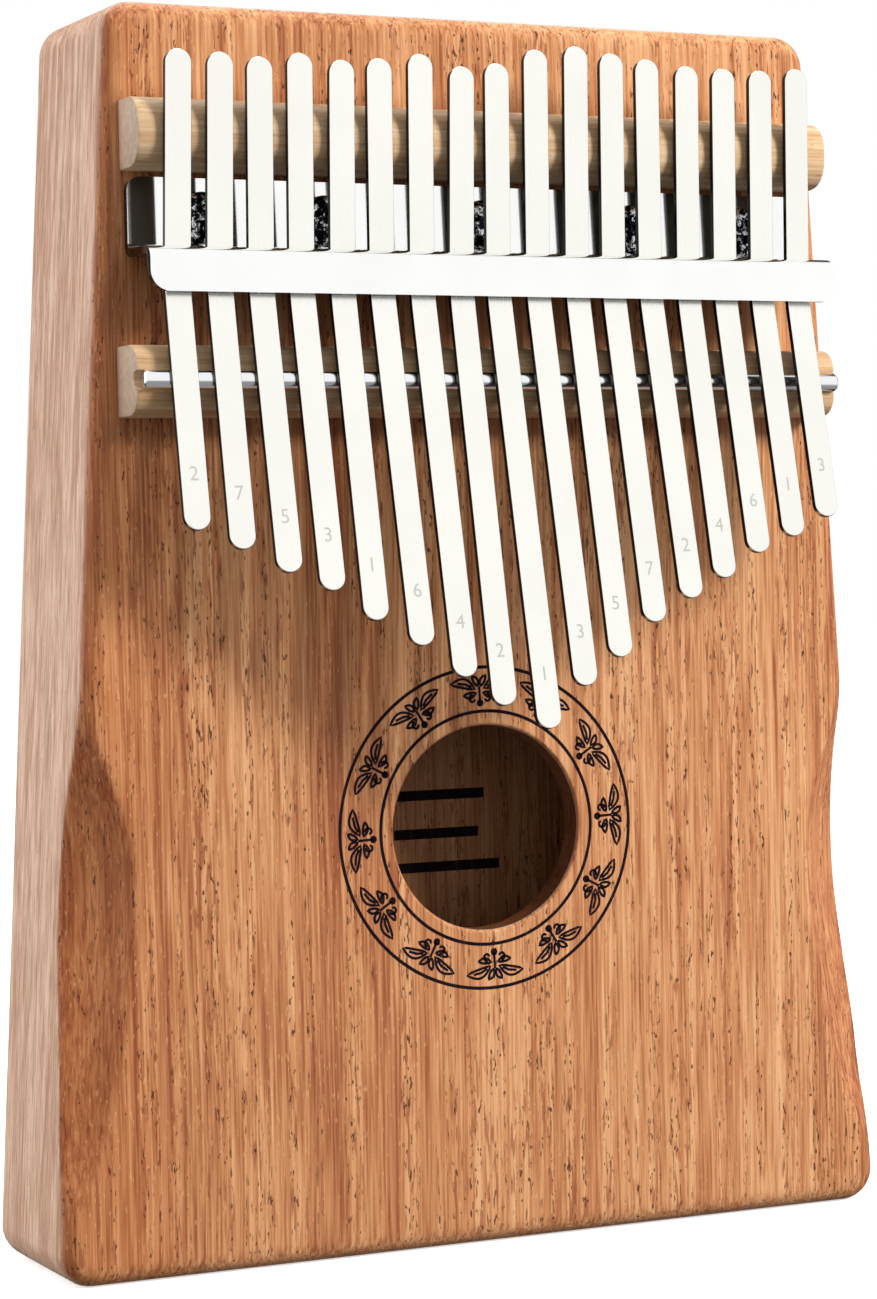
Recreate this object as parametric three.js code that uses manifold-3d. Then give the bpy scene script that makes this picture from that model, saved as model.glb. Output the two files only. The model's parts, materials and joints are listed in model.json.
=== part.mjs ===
// Seventeen-key thumb piano: a routed wooden soundbox with a back panel, two wooden bridges, a steel rod,
// a bent clamp bracket on five screws, and seventeen steel tines.
// Millimetres. +Z runs up the body, +X to the right as seen from the front, and the front looks along -Y.
// The origin is the centre of the bottom face.
import * as THREE from "three";
import Module from "manifold-3d";

// Soundbox
const HEIGHT = 185;
const BOTTOM_WIDTH = 138;
const TOP_WIDTH = 117;
const THICKNESS = 30;
const CORNER_RADIUS = 5;
const FRONT_ROUND = 3;
const BACK_ROUND = 2.5;
const FRONT_Y = -THICKNESS / 2;
const BACK_Y = THICKNESS / 2;
const SOUNDBOARD = 4.5;
const WALL = 11;
const CAVITY_RADIUS = 8;
const CAVITY_TOP = 147; // above it the body is solid, to hold the clamp's screws
const PANEL = { inset: 6, thickness: 4, radius: 4, clearance: 0.05 };
const HOLE = { radius: 15.5, z: 63.2, chamfer: 0.4 };
const RINGS = { radii: [17.65, 24.3], width: 0.5 };
const ENGRAVING = 0.25;

// Leaf motif, repeated round the sound hole, in the motif's own across and outward directions
const MOTIFS = { count: 12, radius: 21, turn: 2.4 };
const LEAVES = [
  { from: [0.7, 0.1], to: [4.4, 0.9], width: 1.3 },
  { from: [0.6, -0.6], to: [2.7, -1.6], width: 0.8 },
];
const DOTS = [
  { at: [0, 1.2], radius: 0.6 },
  { at: [0, -1.5], radius: 0.4 },
];

// Thumb scoops in both long front edges: height up the body, how far the rim reaches into the front face,
// and how deep it reaches down the side
const SCOOP = [
  { z: 11, face: 1.4, side: 1.4 },
  { z: 19, face: 5.2, side: 3.2 },
  { z: 29, face: 7.5, side: 4.3 },
  { z: 40, face: 8.4, side: 6.1 },
  { z: 52, face: 9.3, side: 7.5 },
  { z: 61, face: 8.7, side: 7.1 },
  { z: 69, face: 6.3, side: 5.7 },
  { z: 76, face: 3.2, side: 3.6 },
  { z: 82, face: 1.4, side: 1.4 },
];
const SCOOP_HOLLOW = 0.6;

// Tines, left to right: height of the top end and of the playing tip, how far each stands off the even
// spacing at the rod, and its top end's lean to the right in degrees
const TINES = [
  { top: 176.7, tip: 108.7, x: -0.1, lean: 0.4 },
  { top: 176.5, tip: 105.9, x: 0, lean: 0.2 },
  { top: 176.1, tip: 102.5, x: 0.1, lean: -0.4 },
  { top: 176.9, tip: 99.8, x: 0, lean: -0.5 },
  { top: 176.2, tip: 95.4, x: 0, lean: -0.3 },
  { top: 176.7, tip: 91.6, x: 0, lean: -0.9 },
  { top: 177.6, tip: 86.9, x: 0, lean: -0.7 },
  { top: 176.1, tip: 82.6, x: -0.15, lean: -0.1 },
  { top: 176.8, tip: 79.0, x: -0.3, lean: -0.8 },
  { top: 179.1, tip: 85.0, x: -0.1, lean: -1.0 },
  { top: 179.9, tip: 89.0, x: 0.05, lean: -0.8 },
  { top: 179.1, tip: 94.0, x: -0.1, lean: -1.1 },
  { top: 178.5, tip: 97.4, x: -0.05, lean: -1.6 },
  { top: 177.8, tip: 100.3, x: 0, lean: -1.1 },
  { top: 177.7, tip: 104.0, x: 0.05, lean: -1.2 },
  { top: 177.7, tip: 106.4, x: 0.15, lean: -1.2 },
  { top: 178.2, tip: 109.3, x: 0.15, lean: -1.2 },
];
const PITCH = 6.42;
const TINE_WIDTH = 4;
const TINE_THICKNESS = 1;
const ROD_HEIGHT = 10.4; // of a tine's middle above the front face, over the rod
const RISE = THREE.MathUtils.degToRad(10.9); // of the playing end, away from the face
const TAIL_RISE = THREE.MathUtils.degToRad(2.6); // of the top end, above the clamp
const BEND_START = 10.7; // up the tine from the rod
const BEND_RADIUS = 24;
const SPLIT_GAP = 0.3; // between the clamped tail and the playing tongue
const CLEARANCE = 0.3; // round each tine, so that it can slide to tune

// Bridges and rod
const UPPER_BRIDGE = { length: 113.6, z: 165.4, width: 10.2, straight: 3.4 };
const LOWER_BRIDGE = { length: 115.6, z: 130.1, width: 10.2, height: 8, shoulder: 3.2 };
const ROD = { radius: 1.4, length: 114.6, x: 0.4, chamfer: 0.3 };
const GROOVE_FIT = 0.05; // round the rod, in the lower bridge

// Clamp bracket: a plate on the face, a wall with a slot per tine, and a strip that presses on the tines
const BRACKET = {
  length: 112.7,
  x: 0.2,
  sheet: 1.25,
  face: 10.2,
  plateTop: 159.5,
  wallTop: 149.1,
  stripBottom: 142.5,
  innerBend: 0.8,
  plateCorner: 2,
  stripCorner: { left: 3, right: 1.8 },
  slotWidth: 5.2,
  screwGap: 0.2,
};
const SLOT_OVERLAP = 0.1; // of a slot or a corner's cutter past the bend or the sheet
const SCREWS = { tines: [2, 5, 9, 13, 16], z: 153.7, head: 3.8, rise: 2.3, shank: 1.45, depth: 6 };
const SCREW_FIT = 0.02; // round each screw, in the body
const RECESS = { arm: 1.9, half: 0.45, depth: 1.3 }; // the cross in each screw's head

const PAST = 1; // how far a cutter reaches past the surface that it opens

const wasm = await Module();
wasm.setup();
const group = new THREE.Group();
group.name = "thumb_piano";

// A closed solid from rings of points, each joined to the next, with a cap on each end.
function loft(rings, flat) {
  const count = rings[0].length;
  const at = rings.flat();
  const faces = [];
  for (let r = 0; r + 1 < rings.length; r++)
    for (let i = 0; i < count; i++) {
      const j = (i + 1) % count;
      const [a, b, c, d] = [r * count + i, r * count + j, (r + 1) * count + j, (r + 1) * count + i];
      faces.push([a, b, c], [a, c, d]);
    }
  const cap = THREE.ShapeUtils.triangulateShape(rings[0].map(flat), []);
  const last = (rings.length - 1) * count;
  for (const [a, b, c] of cap) faces.push([a, b, c]);
  for (const [a, b, c] of THREE.ShapeUtils.triangulateShape(rings.at(-1).map(flat), []))
    faces.push([last + a, last + b, last + c]);
  return closed(at, orient(at, faces, cap.length));
}

// The caps may run against the sides, so each is turned until the solid is closed and faces out.
function orient(at, faces, capFaces) {
  const sides = faces.slice(0, faces.length - 2 * capFaces);
  const first = faces.slice(sides.length, sides.length + capFaces);
  const second = faces.slice(sides.length + capFaces);
  const edges = new Set(sides.flatMap(([a, b, c]) => [`${a},${b}`, `${b},${c}`, `${c},${a}`]));
  const runs = ([a, b, c]) => [[a, b], [b, c], [c, a]].some(([p, q]) => edges.has(`${p},${q}`));
  const clashes = (cap) => cap.some(runs);
  const turned = (cap) => (clashes(cap) ? cap.map(([a, b, c]) => [a, c, b]) : cap);
  const whole = [...sides, ...turned(first), ...turned(second)];
  const wedge = ([a, b, c]) => at[a].dot(new THREE.Vector3().crossVectors(at[b], at[c]));
  const volume = whole.reduce((sum, face) => sum + wedge(face), 0);
  return volume < 0 ? whole.map(([a, b, c]) => [a, c, b]) : whole;
}

// Points that coincide are merged, and faces that vanish with them are dropped.
function closed(at, faces) {
  const seen = new Map();
  const place = [];
  const merged = at.map((p) => {
    const key = [p.x, p.y, p.z].map((n) => n.toFixed(5)).join();
    if (!seen.has(key)) {
      seen.set(key, place.length / 3);
      place.push(p.x, p.y, p.z);
    }
    return seen.get(key);
  });
  const kept = faces.map((f) => f.map((i) => merged[i])).filter(([a, b, c]) => a !== b && b !== c && c !== a);
  const vertProperties = new Float32Array(place);
  const triVerts = new Uint32Array(kept.flat());
  return new wasm.Manifold(new wasm.Mesh({ numProp: 3, vertProperties, triVerts }));
}

// A flat outline placed across an axis, and a point as that axis sees it
const acrossX = (outline, x) => outline.map(([y, z]) => new THREE.Vector3(x, y, z));
const acrossY = (outline, y) => outline.map(([x, z]) => new THREE.Vector3(x, y, z));
const seenFromX = (p) => new THREE.Vector2(p.y, p.z);
const seenFromY = (p) => new THREE.Vector2(p.x, p.z);
const seenFromZ = (p) => new THREE.Vector2(p.x, p.y);

// Prisms: along X from a [height above the face, z] outline, and along Y from an [x, z] outline
const alongX = (outline, x0, x1) => {
  const section = outline.map(([h, z]) => [FRONT_Y - h, z]);
  return loft([x0, x1].map((x) => acrossX(section, x)), seenFromX);
};
const alongY = (outline, y0, y1) => loft([y0, y1].map((y) => acrossY(outline, y)), seenFromY);
const block = (x0, x1, h0, h1, z0, z1) => alongX([[h0, z0], [h1, z0], [h1, z1], [h0, z1]], x0, x1);

// Points of an arc, in radians, in any plane
function arc(u, v, radius, from, to, steps) {
  return Array.from({ length: steps + 1 }, (_, i) => {
    const a = from + ((to - from) * i) / steps;
    return [u + radius * Math.cos(a), v + radius * Math.sin(a)];
  });
}
const circle = (u, v, radius, steps) => arc(u, v, radius, 0, 2 * Math.PI, steps).slice(0, steps);

// The body's outline, drawn in by an inset, with rounded corners
function outline(inset, radius, steps, top = HEIGHT - inset) {
  const lean = (BOTTOM_WIDTH - TOP_WIDTH) / 2 / HEIGHT;
  const tilt = Math.atan(lean);
  const side = (z) => BOTTOM_WIDTH / 2 - lean * z - inset / Math.cos(tilt);
  // the arc's centre is one radius inside both edges
  const centre = (z) => side(z) - radius / Math.cos(tilt);
  const low = inset + radius;
  const high = top - radius;
  const right = [
    ...arc(centre(low), low, radius, -Math.PI / 2, tilt, steps),
    ...arc(centre(high), high, radius, tilt, Math.PI / 2, steps),
  ];
  return [...right, ...right.map(([x, z]) => [-x, z]).reverse()];
}

function soundbox() {
  const rings = [];
  const roundSteps = 5;
  for (let i = 0; i <= roundSteps; i++) {
    const a = ((Math.PI / 2) * i) / roundSteps;
    rings.push([FRONT_ROUND * (1 - Math.sin(a)), FRONT_Y + FRONT_ROUND * (1 - Math.cos(a))]);
  }
  for (let i = 0; i <= roundSteps; i++) {
    const a = ((Math.PI / 2) * i) / roundSteps;
    rings.push([BACK_ROUND * (1 - Math.cos(a)), BACK_Y - BACK_ROUND * (1 - Math.sin(a))]);
  }
  const level = ([inset, y]) => acrossY(outline(inset, CORNER_RADIUS - inset, 5), y);
  let body = loft(rings.map(level), seenFromY);
  const inner = FRONT_Y + SOUNDBOARD;
  body = body.subtract(alongY(outline(WALL, CAVITY_RADIUS, 5, CAVITY_TOP), inner, BACK_Y + PAST));
  const recess = outline(PANEL.inset, PANEL.radius, 4);
  body = body.subtract(alongY(recess, BACK_Y - PANEL.thickness, BACK_Y + PAST));
  body = body.subtract(alongY(circle(0, HOLE.z, HOLE.radius, 64), FRONT_Y - PAST, inner + PAST));
  const rim = (depth) => circle(0, HOLE.z, HOLE.radius + HOLE.chamfer - depth, 64);
  const rims = [-PAST, HOLE.chamfer].map((depth) => acrossY(rim(depth), FRONT_Y + depth));
  body = body.subtract(loft(rims, seenFromY));
  for (const radius of RINGS.radii) {
    const [outer, hub] = [radius + RINGS.width / 2, radius - RINGS.width / 2].map((r) =>
      alongY(circle(0, HOLE.z, r, 48), FRONT_Y - PAST, FRONT_Y + ENGRAVING),
    );
    body = body.subtract(outer.subtract(hub));
  }
  body = body.subtract(motifs());
  for (const side of [-1, 1]) body = body.subtract(scoop(side));
  for (const x of SCREWS.tines.map(tineX)) {
    const bore = circle(x, SCREWS.z, SCREWS.shank + SCREW_FIT, 16);
    body = body.subtract(alongY(bore, FRONT_Y - PAST, FRONT_Y + SCREWS.depth + SCREW_FIT));
  }
  return body;
}

// Cutters for the motifs, which stand on the hole's centre and face outwards
function motifs() {
  const leaf = ({ from, to, width }, side) => {
    const [du, dv] = [to[0] - from[0], to[1] - from[1]];
    const length = Math.hypot(du, dv);
    const edge = (t, bulge) => {
      const out = bulge * width * Math.sin(Math.PI * t);
      return [side * (from[0] + du * t - (dv / length) * out), from[1] + dv * t + (du / length) * out];
    };
    const outer = [0, 0.25, 0.5, 0.75, 1].map((t) => edge(t, 0.75));
    const inner = [0.75, 0.5, 0.25].map((t) => edge(t, -0.25));
    return [...outer, ...inner];
  };
  const shapes = [
    ...LEAVES.flatMap((l) => [leaf(l, 1), leaf(l, -1)]),
    ...DOTS.map(({ at, radius }) => circle(...at, radius, 8)),
  ];
  let cutter;
  for (let i = 0; i < MOTIFS.count; i++) {
    const a = THREE.MathUtils.degToRad(MOTIFS.turn - 90 + (360 / MOTIFS.count) * i);
    const placed = (u, v) => [
      (MOTIFS.radius + v) * Math.cos(a) - u * Math.sin(a),
      HOLE.z + (MOTIFS.radius + v) * Math.sin(a) + u * Math.cos(a),
    ];
    for (const shape of shapes) {
      const one = alongY(shape.map(([u, v]) => placed(u, v)), FRONT_Y - PAST, FRONT_Y + ENGRAVING);
      cutter = cutter ? cutter.add(one) : one;
    }
  }
  return cutter;
}

// A scoop's cutter: a shallow hollow between the front rim and the side rim, closed well outside the body.
function scoop(side) {
  const curve = new THREE.CatmullRomCurve3(
    SCOOP.map(({ z, face, side: depth }) => new THREE.Vector3(face, depth, z)),
    false,
    "centripetal",
  );
  const rings = curve.getPoints(32).map(({ x: face, y: depth, z }) => {
    const edge = BOTTOM_WIDTH / 2 - ((BOTTOM_WIDTH - TOP_WIDTH) / 2 / HEIGHT) * z;
    const span = Math.hypot(face, depth);
    const hollow = SCOOP_HOLLOW * Math.min(1, span / 8);
    const section = [-0.6, 0, 0.25, 0.5, 0.75, 1, 1.6].map((t) => {
      const dip = hollow * 4 * t * (1 - t);
      return [edge - face * (1 - t) - (dip * depth) / span, FRONT_Y + depth * t + (dip * face) / span];
    });
    section.push([edge + 14, FRONT_Y + 12], [edge + 14, FRONT_Y - 14], [edge - 12, FRONT_Y - 14]);
    return section.map(([x, y]) => new THREE.Vector3(side * x, y, z));
  });
  return loft(rings, seenFromZ);
}

const backPanel = () =>
  alongY(outline(PANEL.inset + PANEL.clearance, PANEL.radius, 4), BACK_Y - PANEL.thickness, BACK_Y);

function upperBridge() {
  const { length, z, width, straight } = UPPER_BRIDGE;
  const crown = tineHeightAt(z) - TINE_THICKNESS / 2 - CLEARANCE - straight;
  const half = arc(0, 0, 1, -Math.PI / 2, Math.PI / 2, 14);
  const rounding = half.map(([u, v]) => [straight + crown * u, z + (v * width) / 2]);
  return alongX([[0, z - width / 2], ...rounding, [0, z + width / 2]], -length / 2, length / 2);
}

// Where a tine's middle line is, s millimetres up from the rod: straight to the clamp, bent under it,
// then straight to the top end
const BEND_END = BEND_START + BEND_RADIUS * (RISE + TAIL_RISE);
function tineLine(s) {
  const slope = THREE.MathUtils.clamp(RISE - (s - BEND_START) / BEND_RADIUS, -TAIL_RISE, RISE);
  const below = Math.min(s, BEND_START);
  const above = Math.max(s - BEND_END, 0);
  const bend = {
    z: BEND_RADIUS * (Math.sin(RISE) - Math.sin(slope)),
    height: BEND_RADIUS * (Math.cos(slope) - Math.cos(RISE)),
  };
  return {
    z: LOWER_BRIDGE.z + below * Math.cos(RISE) + bend.z + above * Math.cos(TAIL_RISE),
    height: ROD_HEIGHT - below * Math.sin(RISE) - bend.height + above * Math.sin(TAIL_RISE),
    slope,
  };
}
const bendEnd = tineLine(BEND_END);
const tailLength = (z) => BEND_END + (z - bendEnd.z) / Math.cos(TAIL_RISE);
const tineHeightAt = (z) => tineLine(tailLength(z)).height;
const tineX = (number) => (number - (TINES.length + 1) / 2) * PITCH;
const tineXAt = (number, z) => {
  const { x, lean } = TINES[number - 1];
  return tineX(number) + x + (z - LOWER_BRIDGE.z) * Math.tan(THREE.MathUtils.degToRad(lean));
};
const ROD_CENTRE = ROD_HEIGHT - TINE_THICKNESS / 2 / Math.cos(RISE) - CLEARANCE - ROD.radius;

function lowerBridge() {
  const { length, z, width, height, shoulder } = LOWER_BRIDGE;
  const radius = ROD.radius + GROOVE_FIT;
  const open = Math.acos((ROD_CENTRE - height) / radius);
  const half = [...arc(height - shoulder, z + width / 2 - shoulder, shoulder, 0, Math.PI / 2, 5)];
  const round = arc(ROD_CENTRE, z, radius, Math.PI - open, Math.PI + open, 8);
  const groove = round.map(([h, v]) => [Math.min(h, height), v]);
  const section = [
    [0, z + width / 2],
    ...half.reverse(),
    ...groove,
    ...half.map(([h, v]) => [h, 2 * z - v]).reverse(),
    [0, z - width / 2],
  ];
  return alongX(section, -length / 2, length / 2);
}

function rod() {
  const { radius, length, x: middle, chamfer } = ROD;
  const half = length / 2;
  const section = (r) => circle(FRONT_Y - ROD_CENTRE, LOWER_BRIDGE.z, r, 20);
  const rings = [
    [-half, radius - chamfer],
    [-half + chamfer, radius],
    [half - chamfer, radius],
    [half, radius - chamfer],
  ].map(([x, r]) => acrossX(section(r), middle + x));
  return loft(rings, seenFromX);
}

function bracket() {
  const { length, x: middle, sheet, face, innerBend, plateCorner, stripCorner, slotWidth } = BRACKET;
  const { plateTop, wallTop, stripBottom } = BRACKET;
  const under = face - sheet;
  const wallBottom = wallTop - sheet;
  const outerBend = innerBend + sheet;
  const half = length / 2;
  const section = [
    [0, plateTop],
    [sheet, plateTop],
    ...arc(sheet + innerBend, wallTop + innerBend, innerBend, Math.PI, 1.5 * Math.PI, 4),
    ...arc(face - outerBend, wallTop - outerBend, outerBend, Math.PI / 2, 0, 6),
    [face, stripBottom],
    [under, stripBottom],
    ...arc(under - innerBend, wallBottom - innerBend, innerBend, 0, Math.PI / 2, 4),
    ...arc(outerBend, wallBottom + outerBend, outerBend, 1.5 * Math.PI, Math.PI, 6),
  ];
  let body = alongX(section, middle - half, middle + half);
  for (let n = 1; n <= TINES.length; n++) {
    const x = tineXAt(n, wallBottom);
    const floor = tineHeightAt(wallTop) - TINE_THICKNESS / 2 - 2 * CLEARANCE;
    const bottom = wallBottom - innerBend - SLOT_OVERLAP;
    body = body.subtract(block(x - slotWidth / 2, x + slotWidth / 2, floor, under, bottom, wallTop + PAST));
  }
  for (const x of SCREWS.tines.map(tineX)) {
    const hole = circle(x, SCREWS.z, SCREWS.shank + BRACKET.screwGap, 16);
    body = body.subtract(alongY(hole, FRONT_Y - sheet - PAST, FRONT_Y + PAST));
  }
  for (const [side, stripRadius] of [[-1, stripCorner.left], [1, stripCorner.right]])
    for (const [z, up, radius, low, high] of [
      [plateTop, 1, plateCorner, -PAST, sheet + SLOT_OVERLAP],
      [stripBottom, -1, stripRadius, under - SLOT_OVERLAP, face + PAST],
    ]) {
      const curve = arc(half - radius, z - up * radius, radius, 0, (up * Math.PI) / 2, 6);
      const [beside, beyond] = [half + PAST, z + up * PAST];
      const tip = [[beside, z - up * radius], ...curve, [half - radius, beyond], [beside, beyond]];
      const placed = tip.map(([x, v]) => [middle + side * x, v]);
      body = body.subtract(alongY(placed, FRONT_Y - high, FRONT_Y - low));
    }
  return body;
}

// A pan-head screw with a cross recess, standing on the plate and driven into the body
function screw(x) {
  const base = FRONT_Y - BRACKET.sheet;
  const profile = [
    [FRONT_Y + SCREWS.depth, SCREWS.shank],
    [base, SCREWS.shank],
    [base, SCREWS.head],
    [base - 0.9, SCREWS.head],
    [base - 1.7, SCREWS.head - 0.7],
    [base - SCREWS.rise, SCREWS.head - 2.1],
  ];
  let body = loft(profile.map(([y, r]) => acrossY(circle(x, SCREWS.z, r, 16), y)), seenFromY);
  const floor = BRACKET.sheet + SCREWS.rise - RECESS.depth;
  const top = BRACKET.sheet + SCREWS.rise + PAST;
  for (const [wide, tall] of [[RECESS.arm, RECESS.half], [RECESS.half, RECESS.arm]])
    body = body.subtract(block(x - wide, x + wide, floor, top, SCREWS.z - tall, SCREWS.z + tall));
  return body;
}

// A length of tine between two places on its line, with a round end where it is free
function strip(number, from, to, roundFrom, roundTo) {
  const radius = TINE_WIDTH / 2;
  const steps = 6;
  const rings = [];
  const add = (s, half) => {
    const { z, height, slope } = tineLine(s);
    const corner = ([across, out]) => {
      const rise = (out * TINE_THICKNESS) / 2;
      const x = tineXAt(number, z) + across * half;
      return new THREE.Vector3(x, FRONT_Y - height - rise * Math.cos(slope), z + rise * Math.sin(slope));
    };
    rings.push([[-1, -1], [1, -1], [1, 1], [-1, 1]].map(corner));
  };
  const ends = Array.from({ length: steps + 1 }, (_, i) => (i * Math.PI) / 2 / steps);
  if (roundFrom) for (const a of ends) add(from + radius * (1 - Math.cos(a)), radius * Math.sin(a));
  else add(from, radius);
  const bends = [0, 1, 2, 3, 4].map((i) => BEND_START + ((BEND_END - BEND_START) * i) / 4);
  for (const s of bends.filter((s) => s > from && s < to)) add(s, radius);
  if (roundTo) for (const a of ends.reverse()) add(to - radius * (1 - Math.cos(a)), radius * Math.sin(a));
  else add(to, radius);
  return loft(rings, seenFromY);
}

const WOOD = 0xb5713c;
const PALE_WOOD = 0xe0c08f;
const STEEL = 0xd5d8da;
const DARK_STEEL = 0x55585c;

function add(name, solid, color) {
  const { vertProperties, numProp, triVerts } = solid.getMesh();
  const place = new Float32Array(triVerts.length * 3);
  triVerts.forEach((v, i) => place.set(vertProperties.subarray(v * numProp, v * numProp + 3), i * 3));
  const geometry = new THREE.BufferGeometry();
  geometry.setAttribute("position", new THREE.BufferAttribute(place, 3));
  geometry.computeVertexNormals();
  const mesh = new THREE.Mesh(geometry, new THREE.MeshStandardMaterial({ color }));
  mesh.name = name;
  group.add(mesh);
}

add("soundbox", soundbox(), WOOD);
add("back_panel", backPanel(), WOOD);
add("upper_bridge", upperBridge(), PALE_WOOD);
add("lower_bridge", lowerBridge(), PALE_WOOD);
add("bridge_rod", rod(), STEEL);
add("clamp_bracket", bracket(), STEEL);
SCREWS.tines.forEach((n, i) => add(`clamp_screw_${i + 1}`, screw(tineX(n)), DARK_STEEL));
TINES.forEach(({ top, tip }, i) => {
  const number = String(i + 1).padStart(2, "0");
  const free = (LOWER_BRIDGE.z - tip) / Math.cos(RISE);
  const held = tailLength(top);
  add(`tine_${number}_tail`, strip(i + 1, SPLIT_GAP / 2, held, false, true), STEEL);
  add(`tine_${number}_tongue`, strip(i + 1, -free, -SPLIT_GAP / 2, true, false), STEEL);
});

export default group;
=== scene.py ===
import json
import math

import bpy
import numpy as np
from mathutils import Matrix, Vector


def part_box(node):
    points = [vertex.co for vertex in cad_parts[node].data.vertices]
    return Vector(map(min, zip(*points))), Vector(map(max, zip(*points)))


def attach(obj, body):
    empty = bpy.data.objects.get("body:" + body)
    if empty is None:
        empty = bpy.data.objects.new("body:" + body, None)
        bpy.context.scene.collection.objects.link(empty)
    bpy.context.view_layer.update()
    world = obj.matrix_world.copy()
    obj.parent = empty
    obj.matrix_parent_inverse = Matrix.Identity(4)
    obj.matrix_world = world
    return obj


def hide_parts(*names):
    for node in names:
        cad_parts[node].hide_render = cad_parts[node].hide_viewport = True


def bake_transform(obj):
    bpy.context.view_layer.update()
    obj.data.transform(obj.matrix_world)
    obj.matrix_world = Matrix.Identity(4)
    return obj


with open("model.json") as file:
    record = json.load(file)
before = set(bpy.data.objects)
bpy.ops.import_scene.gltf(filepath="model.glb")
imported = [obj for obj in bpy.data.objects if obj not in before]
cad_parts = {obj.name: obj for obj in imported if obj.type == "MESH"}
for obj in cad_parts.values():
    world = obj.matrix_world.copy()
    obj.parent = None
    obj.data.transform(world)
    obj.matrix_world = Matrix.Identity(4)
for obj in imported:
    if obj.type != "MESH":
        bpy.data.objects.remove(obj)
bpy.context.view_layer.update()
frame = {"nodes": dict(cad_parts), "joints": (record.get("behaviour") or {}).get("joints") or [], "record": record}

scene = bpy.context.scene
MM = 0.001
BODY = "instrument"
QUARTER = math.pi / 2


def box(node):
    """A CAD node's lowest and highest corners, in millimetres."""
    return tuple(np.array(corner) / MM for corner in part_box(node))


# ---------- sizes, in millimetres ----------

body_low, body_high = box("soundbox")
HEIGHT, FRONT, BACK = body_high[2], body_low[1], body_high[1]
BOTTOM_HALF, TOP_HALF = 69.0, 58.5  # half widths of the straight sides, carried on to the two ends
CORNER, FRONT_ROUND, BACK_ROUND = 5.0, 3.0, 2.5
SOUNDBOARD, WALL, CAVITY_TOP, CAVITY_CORNER = 4.5, 11.0, 147.0, 8.0
CAVITY_FRONT = FRONT + SOUNDBOARD
PANEL_INSET, PANEL_CORNER, PANEL_THICKNESS = 6.0, 4.0, 4.0
hole_low, hole_high = next(
    opening["box_m"] for opening in frame["record"]["physics"]["openings"] if opening["name"] == "sound_hole"
)
HOLE_Z = (hole_low[2] + hole_high[2]) / 2 / MM
HOLE_RADIUS, HOLE_ROUND = 15.5, 0.55
PAST = 1.0  # how far a cutter reaches past the surface that it opens

SCOOP = np.array([  # height, reach into the front face, depth down the side
    (11, 1.4, 1.4), (19, 5.2, 3.2), (29, 7.5, 4.3), (40, 8.4, 6.1), (52, 9.3, 7.5),
    (61, 8.7, 7.1), (69, 6.3, 5.7), (76, 3.2, 3.6), (82, 1.4, 1.4),
])
SCOOP_HOLLOW, FULL_SPAN = 0.6, 8.0  # the hollow's depth, and the span from which it is full
SCOOP_RUNOUT, RIM_SOFTNESS = 0.4, 0.35
REACH = 12.0  # how far a corner's section goes in from the side and back from the front

RING_RADII, RING_WIDTH, RING_LIFT = (17.65, 24.3), 0.50, 0.03
MOTIF_COUNT, MOTIF_RADIUS, MOTIF_TURN = 12, 21.0, 2.4
MOTIF_STROKE, MOTIF_LIFT, SUNK = 0.40, 0.025, 0.02
BAR_HALF, BAR_LIFT = 0.8, 0.06
BARS = ((-3.4, 12.3, 66.5), (-3.5, 11.2, 60.4), (-3.6, 14.8, 55.1))  # left end, right end, height

rod_low, rod_high = box("bridge_rod")
ROD_Z = (rod_low[2] + rod_high[2]) / 2
ROD_RADIUS = (rod_high[2] - rod_low[2]) / 2
ROD_CENTRE = FRONT - (rod_low[1] + rod_high[1]) / 2  # above the front face
GROOVE_FIT = 0.02
BRIDGE_STRAIGHT, BRIDGE_SHOULDER, CROWN_POWER = 3.4, 3.2, 0.85

NOTES = "27531642135724613"  # one figure for each tine, left to right
TINES = range(1, len(NOTES) + 1)
TINE_WIDTH, TINE_THICKNESS, TINE_EDGE, TINE_CLEARANCE = 4.0, 1.0, 0.16, 0.3
LINE_HEIGHT = 10.4  # of a tine's middle above the front face, over the rod
RISE, TAIL_RISE = math.radians(10.9), math.radians(2.6)
BEND_START, BEND_RADIUS = 10.7, 24.0
BEND_END = BEND_START + BEND_RADIUS * (RISE + TAIL_RISE)
FIGURE_SIZE, FIGURE_PLACE, FIGURE_LIFT = 3.0, 8.0, 0.003

bracket_low, bracket_high = box("clamp_bracket")
HALF_BRACKET = (bracket_high[0] - bracket_low[0]) / 2
BRACKET_X = (bracket_high[0] + bracket_low[0]) / 2
PLATE_TOP, STRIP_BOTTOM, STRIP_FACE = bracket_high[2], bracket_low[2], FRONT - bracket_low[1]
SHEET, INNER_BEND, WALL_TOP = 1.25, 0.8, 149.1
STRIP_UNDER, WALL_BOTTOM, OUTER_BEND = STRIP_FACE - SHEET, WALL_TOP - SHEET, INNER_BEND + SHEET
PLATE_CORNER, LEFT_STRIP_CORNER, RIGHT_STRIP_CORNER, SHEET_EDGE = 2.0, 3.0, 1.8, 0.38
SLOT_WIDTH, SLOT_OVERLAP = 5.2, 0.1
SCREWS = range(1, 6)
SHANK, SHANK_GAP, SCREW_DEPTH = 1.45, 0.2, 6.0
HEAD, HEAD_RISE, HEAD_SIDE, HEAD_EDGE, HEAD_TOP = 3.8, 2.3, 0.8, 0.15, 0.8
RECESS_ARM, RECESS_HALF, RECESS_DEPTH = 1.9, 0.45, 1.3


# ---------- node materials ----------

def add_node(tree, kind, inputs=(), **settings):
    """A shader node with its settings, and its inputs set or linked."""
    node = tree.nodes.new("ShaderNode" + kind)
    for key, value in settings.items():
        setattr(node, key, value)
    for key, value in dict(inputs).items():
        if isinstance(value, bpy.types.NodeSocket):
            tree.links.new(value, node.inputs[key])
        else:
            node.inputs[key].default_value = value
    return node


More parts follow.
